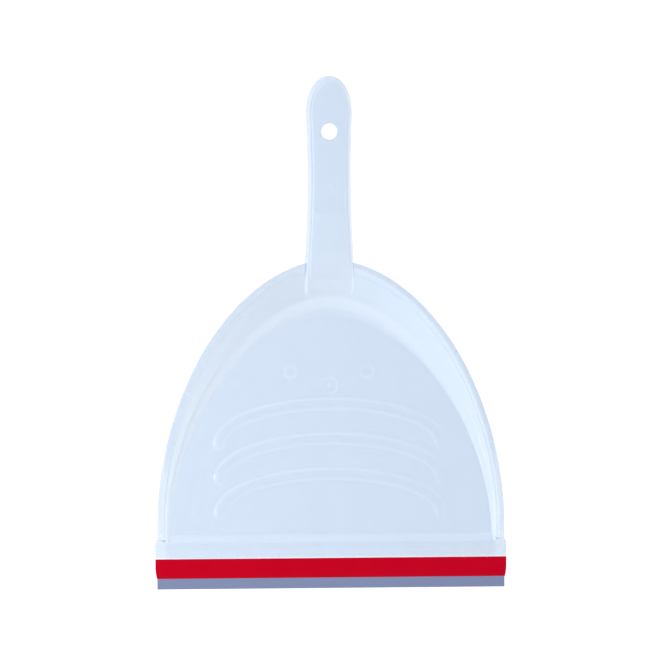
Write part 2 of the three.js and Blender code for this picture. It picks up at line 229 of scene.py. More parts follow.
def rim_point(turn, inset, front):
    half, back = RIM_HALF_WIDTH - inset, sizes().rim_back - inset
    return outline(turn, half, back, RIM_SHOULDER, RIM_ROUNDNESS, front)


def floor_point(turn, front):
    back = sizes().rim_back - BACK_LEAN
    return outline(turn, FLOOR_HALF_WIDTH, back, FLOOR_SHOULDER, FLOOR_ROUNDNESS, front)


def wall_front(height, top):
    """Where the side wall's front end lies at a height: upright, then rounded into the rim."""
    drop = clamp(WALL_FRONT_RADIUS - (top - height), 0.0, WALL_FRONT_RADIUS)
    return WALL_FRONT + WALL_FRONT_RADIUS - math.sqrt(WALL_FRONT_RADIUS**2 - drop**2)


INNER, OUTER = 0, 1
FILLET_STEPS = 12
WALL_SHARES = (0.35, 0.5, 0.65, 0.8, 0.86)
LEDGE = 0.8
LEDGE_SHARES = ((0.872, 0.0), (0.876, LEDGE / 2), (0.88, LEDGE), (0.93, LEDGE))
LIP_RADIUS = 1.3
EDGE_RADIUS = 0.8


def wall_section():
    """The wall's section up one face: share of the lean, share of the height."""
    fillet_end = WALL_TOE + (1 - WALL_TOE) * WALL_FILLET
    section = []
    for i in range(FILLET_STEPS + 1):
        t = i / FILLET_STEPS
        rise = WALL_FILLET * (FILLET_START * t + (1 - FILLET_START) * t * t)
        section.append((2 * WALL_TOE * t * (1 - t) + fillet_end * t * t, rise))
    return section + [(mix(WALL_TOE, 1.0, share), share) for share in WALL_SHARES]


def bowl_section():
    """Round one side of the bowl, from the inner foot of the wall to the outer foot: the face,
    share of the lean, share of the height, then millimetres out and up from that place. There
    is a ledge below the rim, and the flange has rounded edges."""
    s = sizes()
    section = [(INNER, lean, rise, 0.0, 0.0) for lean, rise in wall_section()]
    for share, out in LEDGE_SHARES:
        section.append((INNER, mix(WALL_TOE, 1.0, share), share, out, 0.0))
    flange = s.flange + s.wall
    for i in range(7):
        angle = math.radians(15 + 75 * i / 6)
        out = 0.3 + LIP_RADIUS * (1 - math.cos(angle)) * 1.2
        section.append((INNER, 1.0, 1.0, out, -LIP_RADIUS * (1 - math.sin(angle))))
    section.append((INNER, 1.0, 1.0, flange * 0.6, 0.0))
    for i in range(6):
        angle = math.radians(90 * i / 5)
        out = flange - EDGE_RADIUS + EDGE_RADIUS * math.sin(angle)
        section.append((INNER, 1.0, 1.0, out, -EDGE_RADIUS * (1 - math.cos(angle))))
    # under the flange: its rounded edge, then the corner where it meets the wall
    under_edge = [(s.flange, 0.4), (s.flange - 0.1, 0.1), (s.flange - 0.4, 0.0)]
    under_corner = [(0.5, 0.0), (0.1, -0.15), (0.0, -0.6)]
    section += [(OUTER, 1.0, 1.0, out, up) for out, up in under_edge + under_corner]
    section += [(OUTER, lean, rise, 0.0, 0.0) for lean, rise in reversed(wall_section())]
    return section


FLOOR_ROWS = (0.0, 0.45, 0.9, 0.985)
SIDE_STATIONS = 5
BACK_STATIONS = 150
FLANGE_THICKNESS = 2.0
FLOOR_OVERLAP = 1.6


def bowl():
    """Floor, walls and rim as one closed body, made as a sheet that goes over the top face and
    returns along the underside, then filled across the open front."""
    s = sizes()
    section = bowl_section()
    floor_rows = len(FLOOR_ROWS)
    rows = 2 * floor_rows + len(section)
    stations = 2 * SIDE_STATIONS + BACK_STATIONS + 1
    floor_start = FLOOR_FRONT - FLOOR_OVERLAP
    front_top = rim_height(WALL_FRONT + WALL_FRONT_RADIUS)

    def place(u, v):
        column = round(u * (stations - 1))
        if column < SIDE_STATIONS:
            turn = -1.0 + column / SIDE_STATIONS
        elif column > SIDE_STATIONS + BACK_STATIONS:
            turn = 1.0 + (column - SIDE_STATIONS - BACK_STATIONS) / SIDE_STATIONS
        else:
            turn = (column - SIDE_STATIONS) / BACK_STATIONS
        row = round(v * (rows - 1))
        from_edge = min(row, rows - 1 - row)
        if from_edge < floor_rows:
            x, y = floor_point(turn, floor_start)
            share = FLOOR_ROWS[from_edge]
            level = s.wall if row < floor_rows else 0.0
            return Vector((mix(x * 0.9, x, share), mix(floor_start, y, share), level))
        face, lean, rise, out, up = section[row - floor_rows]
        inset, level, drop = s.flange + s.wall, s.wall, 0.0
        if face == OUTER:
            inset, level, drop = s.flange, 0.0, FLANGE_THICKNESS
        start = floor_start
        if rise > 0.0:
            start = wall_front(mix(level, front_top - drop, rise) + up, front_top)
        low = Vector(floor_point(turn, start))
        high = Vector(rim_point(turn, inset, start))
        outward = Vector(rim_point(turn, inset - 1.0, start)) - high
        spot = low.lerp(high, lean) + outward * out
        height = mix(level, rim_height(high.y + outward.y * out) - drop, rise) + up
        return Vector((spot.x, spot.y, height))

    bm = grid(stations, rows, place)
    merge(bm)
    bmesh.ops.holes_fill(bm, edges=[edge for edge in bm.edges if edge.is_boundary], sides=0)
    bmesh.ops.triangulate(bm, faces=[face for face in bm.faces if len(face.verts) > 4])
    face_out(bm)
    return bm


# ---- bars: bodies with one section from side to side -----------------------------------------


def bar(profile, shares, half_at):
    """A closed body: a closed (along, height) profile carried across the pan. shares are the
    places across, 0 to 1, and half_at gives the half width at a distance along."""
    count = len(profile)

    def place(u, v):
        along, height = profile[round(v * count) % count]
        half = half_at(along)
        share = shares[round(u * (len(shares) - 1))]
        return Vector((mix(-half, half, share), along, height))

    bm = grid(len(shares), count + 1, place)
    merge(bm)
    bmesh.ops.holes_fill(bm, edges=[edge for edge in bm.edges if edge.is_boundary], sides=0)
    face_out(bm)
    return bm


ACROSS = (0.0, 0.02, 0.1, 0.2, 0.3, 0.4, 0.5, 0.6, 0.7, 0.8, 0.9, 0.98, 1.0)


def round_corner(before, corner, after, radius, steps=3):
    """Points that round one corner of a profile."""
    corner = Vector(corner)
    start = corner + (Vector(before) - corner).normalized() * radius
    end = corner + (Vector(after) - corner).normalized() * radius
    made = []
    for i in range(steps + 1):
        t = i / steps
        made.append(tuple((1 - t) ** 2 * start + 2 * t * (1 - t) * corner + t * t * end))
    return made


def rounded(profile):
    """A closed profile from (along, height, radius) corners."""
    made = []
    for i, (along, height, radius) in enumerate(profile):
        if radius == 0.0:
            made.append((along, height))
            continue
        before = profile[i - 1][:2]
        after = profile[(i + 1) % len(profile)][:2]
        made += round_corner(before, (along, height), after, radius)
    return made


# ---- apron and tongue -----------------------------------------------------------------------


TONGUE_INSET = 2.2
CREST_TAPER = 0.4
TAPER_LENGTH = 3.3
BEHIND_CREST = 3.35
FLARE_AT_WALL = 2.0


def apron():
    """The low ramp between the floor and the strip, and the tongue that the strip grips."""
    wall = sizes().wall
    crest = STRIP_BACK + CREST_SETBACK
    top = [
        (TONGUE_FRONT, TONGUE_LIFT + wall),
        (STRIP_BACK - 0.1, TONGUE_LIFT + wall),
        (STRIP_BACK, TONGUE_LIFT + wall),
        (STRIP_BACK + 1.2, TONGUE_LIFT + wall + 0.12),
        (crest - 2.4, 3.98),
        (crest - 1.0, 4.15),
        (crest, 4.2),
        (crest + 0.8, 4.1),
        (crest + 1.6, 3.88),
        (crest + 3.25, 3.22),
        (crest + BEHIND_CREST, 3.18),
        (crest + 4.8, 2.6),
        (crest + 6.0, 2.12),
        (crest + 6.6, 2.0),
        (crest + 7.0, wall - 0.05),
        (crest + 10.0, wall - 0.06),
    ]
    ring = [(share, True) for share in ACROSS] + [(share, False) for share in reversed(ACROSS)]

    def half_at(along):
        if along < STRIP_BACK - 0.05:
            return LIP_HALF_WIDTH - TONGUE_INSET
        if along < crest + TAPER_LENGTH:
            return LIP_HALF_WIDTH - max(0.0, along - crest) * CREST_TAPER
        behind = clamp((along - crest - BEHIND_CREST) / (FLOOR_FRONT - crest - BEHIND_CREST))
        return mix(FLOOR_HALF_WIDTH + FLARE_AT_WALL, FLOOR_HALF_WIDTH, behind)

    def place(u, v):
        along, height = top[round(v * (len(top) - 1))]
        share, upper = ring[round(u * len(ring)) % len(ring)]
        half = half_at(along)
        level = height if upper else max(height - wall, 0.06)
        return Vector((mix(-half, half, share), along, level))

    bm = grid(len(ring) + 1, len(top), place)
    merge(bm)
    bmesh.ops.holes_fill(bm, edges=[edge for edge in bm.edges if edge.is_boundary], sides=0)
    face_out(bm)
    return bm


# ---- lip strip and blade --------------------------------------------------------------------

FIT = 0.3
STRIP_SKIN = 1.0
STRIP_END_TAPER = 1.0
MOUTH_LENGTH = 1.1
BEAD_HEIGHT = 1.8
BEAD_LENGTH = 1.8
NECK_HEIGHT = 1.0
BLADE_MIDDLE = STRIP_HIGH.z / 2 - FIT
BLADE_ROOT = 1.7
BLADE_TIP = 0.8


def lip_strip():
    """A rigid extrusion: a slot behind for the pan's tongue, a slot in front for the bead."""
    top = STRIP_HIGH.z
    pocket = BEAD_HEIGHT / 2 + FIT
    mouth = NECK_HEIGHT / 2 + FIT
    slot_low = TONGUE_LIFT - FIT
    slot_high = TONGUE_LIFT + sizes().wall + FIT
    tongue_end = TONGUE_FRONT - FIT
    mouth_back = STRIP_FRONT + MOUTH_LENGTH
    web = mouth_back + BEAD_LENGTH + 2 * FIT
    front_top = BLADE_MIDDLE + pocket + STRIP_SKIN
    crown = [
        (STRIP_BACK - 3.0, top, 0.0),
        (mix(STRIP_FRONT, STRIP_BACK, 0.6), top - 0.03, 0.0),
        (mix(STRIP_FRONT, STRIP_BACK, 0.42), top - 0.1, 0.0),
        (mix(STRIP_FRONT, STRIP_BACK, 0.28), mix(front_top, top, 0.8), 0.0),
    ]
    profile = rounded([
        (STRIP_BACK, slot_low, 0.2),
        (tongue_end, slot_low, 0.0),
        (tongue_end, slot_high, 0.0),
        (STRIP_BACK, slot_high, 0.2),
        (STRIP_BACK, top, 0.55),
        *crown,
        (STRIP_FRONT, front_top - 0.15, 0.75),
        (STRIP_FRONT, BLADE_MIDDLE + mouth, 0.2),
        (mouth_back, BLADE_MIDDLE + mouth, 0.0),
        (mouth_back, BLADE_MIDDLE + pocket, 0.0),
        (web, BLADE_MIDDLE + pocket, 0.0),
        (web, BLADE_MIDDLE - pocket, 0.0),
        (mouth_back, BLADE_MIDDLE - pocket, 0.0),
        (mouth_back, BLADE_MIDDLE - mouth, 0.0),
        (STRIP_FRONT, BLADE_MIDDLE - mouth, 0.15),
        (STRIP_FRONT, 0.0, 0.25),
        (STRIP_BACK, 0.0, 0.25),
    ])

    def half_at(along):
        share = clamp((along - STRIP_FRONT) / ((STRIP_BACK - STRIP_FRONT) * 0.55))
        return LIP_HALF_WIDTH - STRIP_END_TAPER * (1 - math.sin(share * math.pi / 2))

    return bar(profile, ACROSS, half_at)


def lip_blade():
    """A soft wiper: a bead and neck held in the strip, and a lip that thins to its edge."""
    middle = BLADE_MIDDLE
    bead, neck = BEAD_HEIGHT / 2, NECK_HEIGHT / 2
    root = BLADE_ROOT / 2
    back = STRIP_FRONT + MOUTH_LENGTH + BEAD_LENGTH + FIT
    front = back - BEAD_LENGTH
    shoulder = STRIP_FRONT - 0.05
    profile = rounded([
        (0.0, 0.0, 0.2),
        (STRIP_FRONT * 0.4, 0.0, 0.5),
        (shoulder, middle - root, 0.25),
        (shoulder, middle - neck, 0.0),
        (front, middle - neck, 0.0),
        (front, middle - bead, 0.2),
        (back, middle - bead, 0.3),
        (back, middle + bead, 0.3),
        (front, middle + bead, 0.2),
        (front, middle + neck, 0.0),
        (shoulder, middle + neck, 0.0),
        (shoulder, middle + root, 0.4),
        (STRIP_FRONT * 0.22, 1.08, 0.6),
        (0.0, BLADE_TIP, 0.35),
    ])
    return bar(profile, ACROSS, lambda along: BLADE_HALF_WIDTH)


# ---- ribs -----------------------------------------------------------------------------------

RIB_PITCH = 22.5
FIRST_RIB = 73.5
RIB_CROWNS = (FIRST_RIB, FIRST_RIB + RIB_PITCH, FIRST_RIB + 2 * RIB_PITCH)
RIB_ARCH = 25.0
RIB_HALF_SPAN = FLOOR_HALF_WIDTH - 32.5
RIB_STEPS = 72
RIB_TIP_STEPS = 8
RIB_SKIRT = 1.12
RIB_DOME = 2.6
RIB_ROOT = 1.2


def rib(crown):
    """A low domed bead that follows half an ellipse and ends in round tips."""
    s = sizes()
    half = s.rib_width / 2

    def spine(t):
        angle = math.pi * clamp(t)
        cosine, sine = math.cos(angle), math.sin(angle)
        centre = Vector((RIB_HALF_SPAN * cosine, crown + RIB_ARCH * (sine - 1)))
        return centre, Vector((-RIB_HALF_SPAN * sine, RIB_ARCH * cosine)).normalized()

    def place(u, v):
        row = round(v * (RIB_STEPS + 2 * RIB_TIP_STEPS)) - RIB_TIP_STEPS
        over = max(-row, row - RIB_STEPS, 0) / RIB_TIP_STEPS
        reach = math.sin(over * math.pi / 2)
        scale = max(math.cos(over * math.pi / 2), 0.02)
        centre, ahead = spine(row / RIB_STEPS)
        if over:
            centre = centre + ahead * (half * reach * (-1 if row < 0 else 1))
        side = (u * 2 - 1) * RIB_SKIRT
        across = Vector((ahead.y, -ahead.x)) * (side * half * scale)
        dome = 1 - abs(side) ** RIB_DOME
        height = s.wall + s.rib_height * dome * scale
        spot = centre + across
        return Vector((spot.x, spot.y, height))

    bm = grid(13, RIB_STEPS + 2 * RIB_TIP_STEPS + 1, place)
    face_out(bm)
    if sum(face.normal.z for face in bm.faces) < 0:
        bmesh.ops.reverse_faces(bm, faces=bm.faces)
    close_down(bm, s.wall - RIB_ROOT)
    return bm


def close_down(bm, level):
    """Makes a sheet a closed body by carrying its edge down to a level and filling it there."""
    border = [edge for edge in bm.edges if edge.is_boundary]
    made = bmesh.ops.extrude_edge_only(bm, edges=border)["geom"]
    for vert in made:
        if isinstance(vert, bmesh.types.BMVert):
            vert.co.z = level
    merge(bm)
    bmesh.ops.holes_fill(bm, edges=[edge for edge in bm.edges if edge.is_boundary], sides=0)
    face_out(bm)


# ---- handle ---------------------------------------------------------------------------------

GRIP_RISE = 0.194
GRIP_ABOVE_RIM = 6.0
GRIP_WAIST = 13.75
GRIP_ROOT = 15.8
GRIP_WAIST_AT = TIP - 62.85
TIP_ROUND = 26.5
TIP_DROP = 7.0
FACE_TO_SKIRT = 2.7
FOOT_SLOPE = 2.75
STEP_AT = 240.0
STEP_HEIGHT = 0.4
FOOT_BULGE = 2.3
CROWN = 0.2
BEND_BEFORE, BEND_AFTER = 5.0, 17.0
SKIRT_ROOT, SKIRT_TIP = 15.0, 9.5
GUSSET_START, GUSSET_END = 17.0, 11.0
SHOULDER_RADIUS, HOLLOW_RADIUS = 1.9, 0.9
HOLLOW_FLOOR = -4.0


def grip_root():
    return sizes().rim_back - 1.0


def grip_line(along):
    return rim_height(grip_root()) + GRIP_ABOVE_RIM + GRIP_RISE * (along - grip_root())


def foot_start():
    """Where the face leaves the top of the back wall's fillet: distance and height."""
    s = sizes()
    floor_back = s.rim_back - BACK_LEAN
    lean = BACK_LEAN - s.flange - s.wall
    along = floor_back + lean * (WALL_TOE + (1 - WALL_TOE) * WALL_FILLET)
    return along, s.wall + (s.rim_back_height - s.wall) * WALL_FILLET - s.wall / 2


def face_height(along):
    """Middle of the handle's face: up the back wall, round a bend, out along the grip."""
    start, height = foot_start()
    base = grip_line(0.0)
    corner = (base - height + FOOT_SLOPE * start) / (FOOT_SLOPE - GRIP_RISE)
    before, after = BEND_BEFORE, BEND_AFTER
    if along <= corner - before:
        return height + FOOT_SLOPE * (along - start)
    if along >= corner + after:
        return grip_line(along)
    # distance = corner - before + 2 before t + (after - before) t^2, solved for t
    reach = along - (corner - before)
    spread = after - before
    t = (-before + math.sqrt(before * before + spread * reach)) / spread
    first = height + FOOT_SLOPE * (corner - before - start)
    middle = grip_line(corner)
    last = grip_line(corner + after)
    return (1 - t) ** 2 * first + 2 * t * (1 - t) * middle + t * t * last


def tip_share(along, inset):
    return clamp((along - (TIP - TIP_ROUND)) / (TIP_ROUND - inset))


def half_width(along, inset):
    share = tip_share(along, inset)
    place = max(along, grip_root())
    flare = (GRIP_ROOT - GRIP_WAIST) / (GRIP_WAIST_AT - grip_root()) ** 2
    width = GRIP_WAIST + flare * (place - GRIP_WAIST_AT) ** 2 - inset
    return width * math.sqrt(1 - share * share)


def skirt_height(along):
    """Lower edge of the handle's side walls: along the grip, then down a gusset to the wall."""
    s = sizes()
    start, foot = s.rim_back + GUSSET_START, s.rim_back - GUSSET_END

    def wall(distance):
        low = s.rim_back - BACK_LEAN + (BACK_LEAN - s.flange) * WALL_TOE
        high = s.rim_back - s.flange
        return (s.rim_back_height - 2.0) * (distance + 0.6 - low) / (high - low)

    if along <= foot:
        return wall(along)
    if along < start:
        share = (along - foot) / (start - foot)
        smooth = share * share * (2 - share)
        return mix(wall(foot), grip_line(start) - SKIRT_ROOT, mix(share, smooth, 0.6))
    share = (along - start) / (TIP - start)
    return grip_line(along) - mix(SKIRT_ROOT, SKIRT_TIP, share)


def handle_stations(start, end):
    """Distances along the handle, close together at the bends, the step and the tip."""
    bend = grip_root() + 6.0
    round_start = TIP - TIP_ROUND
    stations = [mix(start, bend, i / 26) for i in range(26)]
    stations += [mix(bend, STEP_AT - 0.15, i / 12) for i in range(13)]
    stations += [mix(STEP_AT + 0.15, round_start, i / 24) for i in range(24)]
    reach = end - round_start
    stations += [round_start + reach * math.sin(math.pi / 2 * i / 26) for i in range(27)]
    return stations


# The handle's side wall, from the skirt's edge up to the shoulder: distance in from the edge,
# of which 0.3 is the place below the shoulder, and height, of which 0.75 is the shoulder's foot.
SIDE_WALL = ((0.0, 0.0), (0.12, 0.35), (0.3, 0.75))


def handle_body(inset, start, end, floor_level=None):
    """The handle as a closed body, drawn in by an inset on every side. It reaches down to the
    skirt's edge, or to a floor level for the hollow, which is cut out of it."""
    stations = handle_stations(start, end)
    points = SIDE_WALL
    radius = SHOULDER_RADIUS if inset == 0.0 else HOLLOW_RADIUS
    arc = 6
    face_steps = 4
    columns = 2 * (len(points) + arc + face_steps) - 1

    def side_point(index, along):
        """Distance from the middle and height of one point of the section."""
        slope = (face_height(along + 0.05) - face_height(along - 0.05)) / 0.1
        share = tip_share(along, inset)
        fall = TIP_DROP * (1 - math.sqrt(1 - share * share))
        top = face_height(along) - inset * math.sqrt(1 + slope * slope) - fall - CROWN
        if inset == 0.0 and along > STEP_AT:
            top -= STEP_HEIGHT
        bottom = skirt_height(along) if floor_level is None else floor_level
        skirt = half_width(along, inset)
        shrink = math.sqrt(1 - share * share)
        widen = 1.0 + 1.5 * (1 - shrink)
        flare = min(FACE_TO_SKIRT * widen, skirt * 0.6)
        height = max(top - bottom, 0.4)
        drop = min(radius, height * 0.45) * (1 + 0.8 * (1 - shrink))
        if index < len(points):
            out, up = points[index]
            return skirt - flare * 0.6 * out / 0.3, bottom + (height - drop) * up / 0.75
        step = index - len(points)
        if step < arc:
            angle = math.pi / 2 * (step + 1) / arc
            inner, outer = skirt - flare, skirt - flare * 0.6
            return mix(outer, inner, 1 - math.cos(angle)), top - drop * (1 - math.sin(angle))
        share_in = (step - arc + 1) / face_steps
        rise = CROWN * math.sin(share_in * math.pi / 2) * shrink
        return (skirt - flare) * (1 - share_in), top + rise

    def place(u, v):
        along = stations[round(v * (len(stations) - 1))]
        column = round(u * (columns + 1)) % (columns + 1)
        if column == columns:
            under = skirt_height(along) if floor_level is None else floor_level
            return Vector((0.0, along, under))
        middle = (columns - 1) // 2
        index = column if column <= middle else columns - 1 - column
        distance, height = side_point(index, along)
        x = math.copysign(distance, column - middle) if distance else 0.0
        # the foot follows the back wall, which curves forwards on both sides
        fade = clamp((sizes().rim_back + 15.0 - along) / 20.0)
        back = FOOT_BULGE * fade * (distance / GRIP_ROOT) ** 2 if inset == 0.0 else 0.0
        return Vector((x, along - back, height))

    bm = grid(columns + 2, len(stations), place)
    merge(bm, 1e-3)
    bmesh.ops.holes_fill(bm, edges=[edge for edge in bm.edges if edge.is_boundary], sides=0)
    bmesh.ops.triangulate(bm, faces=[face for face in bm.faces if len(face.verts) > 4])
    face_out(bm)
    return bm


def handle():
    start, _ = foot_start()
    return handle_body(0.0, start - 0.5, TIP)


def handle_hollow():
    start, _ = foot_start()
    wall = sizes().wall
    return handle_body(wall, start + wall / 2, TIP - wall, HOLLOW_FLOOR)


def disc(x, along, height, radius, depth, segments=48):
    """An upright round body whose top is at a height."""
    bm = bmesh.new()
    bmesh.ops.create_cone(
        bm, cap_ends=True, segments=segments, radius1=radius, radius2=radius, depth=depth,
        matrix=Matrix.Translation((x, along, height - depth / 2)),
    )
    return bm


def lathe(profile, x, along, height, slope=0.0):
    """A round body from (distance from the axis, height) points, its axis upright or leaning
    square to a slope."""
    bm = bmesh.new()
    line = [bm.verts.new((distance, 0.0, up)) for distance, up in profile]
    edges = [bm.edges.new(pair) for pair in zip(line, line[1:])]
    bmesh.ops.spin(
        bm, geom=line + edges, cent=(0, 0, 0), axis=(0, 0, 1), angle=2 * math.pi, steps=56,
        use_merge=True, use_duplicate=False,
    )
    merge(bm)
    bmesh.ops.rotate(
        bm, cent=(0, 0, 0), matrix=Matrix.Rotation(math.atan(slope), 3, "X"), verts=bm.verts
    )
    bmesh.ops.translate(bm, vec=(x, along, height), verts=bm.verts)
    face_out(bm)
    return bm


def ring_profile(radius, band, rise, depth):
    """A low round-topped ring that reaches down to a depth, as a closed line."""
    points = [(radius - band / 2, -depth), (radius - band / 2, 0.0)]
    points += [(radius - band * 0.12, rise), (radius + band * 0.12, rise)]
    points += [(radius + band / 2, 0.0), (radius + band / 2, -depth)]
    return points + points[:1]


def knob_profile(radius, rise, depth):
    """A low dome that reaches down to a depth."""
    points = [(0.0, -depth), (radius, -depth), (radius, 0.0)]
    points += [(radius * 0.8, rise * 0.6), (radius * 0.4, rise * 0.95), (0.0, rise)]
    return points


def dish_profile(radius, depth):
    """A shallow dish to cut, open above."""
    return [(0.0, 3.0), (radius + 0.3, 3.0), (radius + 0.3, 0.05), (radius, 0.0),
            (radius - 0.7, -depth * 0.9), (radius - 1.2, -depth), (0.0, -depth)]


HOLE_AT = TIP - 35.5
GATE_AT = 130.2
GATE_RADIUS = 5.4
GATE_DEPTH = 0.5
MARK_AT = 139.3
MARK_X = 24.8
MARK_RADIUS = 4.0
WITNESS_AT = TIP - 73.0
WITNESS_RADIUS = 3.3


def pan_body():
    """The whole moulding as one closed body."""
    s = sizes()
    body = piece("pan_moulding", bowl())
    combine(body, piece("apron_body", apron()), "UNION")
    for crown in RIB_CROWNS:
        combine(body, piece("rib_body", rib(crown)), "UNION")
    combine(body, piece("handle_body", handle()), "UNION")
    combine(body, piece("hollow_body", handle_hollow()), "DIFFERENCE")
    hole = disc(0, HOLE_AT, PAN_HIGH.z + 5, s.hole / 2, 40)
    combine(body, piece("hole_body", hole), "DIFFERENCE")
    gate = dish_profile(GATE_RADIUS, GATE_DEPTH)
    combine(body, piece("gate_body", lathe(gate, 0, GATE_AT, s.wall)), "DIFFERENCE")
    nub = knob_profile(1.3, 0.9, 0.8)
    combine(body, piece("nub_body", lathe(nub, 0, GATE_AT, s.wall - GATE_DEPTH)), "UNION")
    for x in (-MARK_X, MARK_X):
        mark = ring_profile(MARK_RADIUS, 1.7, 0.4, 0.8)
        combine(body, piece("mark_body", lathe(mark, x, MARK_AT, s.wall)), "UNION")
    witness = ring_profile(WITNESS_RADIUS, 1.3, 0.25, 0.6)
    face = face_height(WITNESS_AT) - STEP_HEIGHT - CROWN * 0.15
    made = lathe(witness, 0, WITNESS_AT, face, GRIP_RISE)
    combine(body, piece("witness_body", made), "UNION")
    return body


# ---- materials ------------------------------------------------------------------------------


def material(name):
    made = bpy.data.materials.new(name)
    made.use_nodes = True
    made.node_tree.nodes.clear()
    return made, made.node_tree


def add(tree, kind, **values):
    """Adds a node. Values are properties of the node, or inputs by name, _ standing for a space;
    an output socket given as a value is linked."""
    made = tree.nodes.new(kind)
    for key, value in values.items():
        label = key.replace("_", " ")
        if hasattr(made, key) and key not in ("color",):
            setattr(made, key, value)
            continue
        socket = made.inputs[label] if label in made.inputs else made.inputs[int(key[1:])]
        if isinstance(value, bpy.types.NodeSocket):
            tree.links.new(value, socket)
        else:
            socket.default_value = value
    return made


def noise(tree, scale, detail=2.0, stretch=(1, 1, 1)):
    """Noise in the object's own coordinates, in metres."""
    place = add(tree, "ShaderNodeTexCoord").outputs["Object"]
    place = add(tree, "ShaderNodeMapping", Vector=place, Scale=stretch).outputs["Vector"]
    made = add(tree, "ShaderNodeTexNoise", Vector=place, Scale=scale, Detail=detail)
    return made.outputs["Fac"]


def between(tree, value, source, target):
    """Maps one range to another, and holds it at the ends."""
    made = add(
        tree, "ShaderNodeMapRange", Value=value, From_Min=source[0], From_Max=source[1],
        To_Min=target[0], To_Max=target[1],
    )
    return made.outputs["Result"]


def ramp(tree, value, stops):
    """Follows straight lines between (value, result) stops."""
    made = add(tree, "ShaderNodeValToRGB", Fac=value)
    points = made.color_ramp.elements
    while len(points) < len(stops):
        points.new(0.5)
    for point, (place, result) in zip(points, stops):
        point.position = place
        point.color = (result, result, result, 1.0)
    return made.outputs["Color"]


def spread(tree, value, low, high):
    """Maps a noise, which lies mostly between 0.3 and 0.7, to low..high."""
    return between(tree, value, (0.3, 0.7), (low, high))


def shade(tree, factor, dark, light):
    made = add(tree, "ShaderNodeMix", data_type="RGBA")
    tree.links.new(factor, made.inputs[0])
    made.inputs[6].default_value = (*dark, 1.0)
    made.inputs[7].default_value = (*light, 1.0)
    return made.outputs[2]


def multiply(tree, first, *others):
    for other in others:
        first = add(tree, "ShaderNodeMath", operation="MULTIPLY", _0=first, _1=other).outputs[0]
    return first


def blend(tree, share, value, other):
    """Goes from a value to another number as the share goes from 0 to 1."""
    made = add(tree, "ShaderNodeMix", data_type="FLOAT")
    tree.links.new(share, made.inputs[0])
    tree.links.new(value, made.inputs[2])
    made.inputs[3].default_value = other
    return made.outputs[0]


def bump(tree, height, strength, distance):
    made = add(tree, "ShaderNodeBump", Height=height, Strength=strength, Distance=distance)
    return made.outputs["Normal"]


def output(tree, shader):
    add(tree, "ShaderNodeOutputMaterial", Surface=shader)


def darker(colour_value, share):
    return tuple(c * share for c in colour_value)


# How much of the haze shows at each tilt of the surface: 0 faces the eye and 1 is edge on. Its
# dips and bumps are painted light and shade fitted to one view: the dip from about 0.1 to 0.3 is
# a painted highlight that makes the fillets paler.
HAZE_AND_PAINTED_LIGHT_BY_TILT = (
    (0.0, 0.355), (0.068, 0.345), (0.105, 0.285), (0.2, 0.265), (0.28, 0.285), (0.38, 0.325),
    (0.5, 0.305), (0.62, 0.255), (1.0, 0.28),
)
FACE_HAZE = 0.334
FACE_EDGE = (0.0129, 0.0134)
# Places and strengths of painted highlights, where the haze is thinned so the plastic looks
# paler: beside the handle's foot, at the side edges, up the right wall as if lit from the left,
# and a line and a band by the strip.
FOOT_EDGE, FOOT_EDGE_END, FOOT_HIGHLIGHT = (0.0138, 0.0145), (0.0152, 0.0162), 0.065
SIDE_EDGE, SIDE_HIGHLIGHT = (0.104, 0.107), 0.09
RIGHT_WALL, RIGHT_WALL_LIGHT, RIGHT_TILT = (0.0, 0.09), 0.035, (0.15, 0.3)
LIP_LINE, LIP_LINE_HIGHLIGHT = (0.0006, 0.001), 0.16
LIP_BAND, LIP_BAND_LIGHT = (0.004, 0.006), 0.018


def span_from(place, span):
    """A span in metres that starts from a place."""
    return place + span[0], place + span[1]


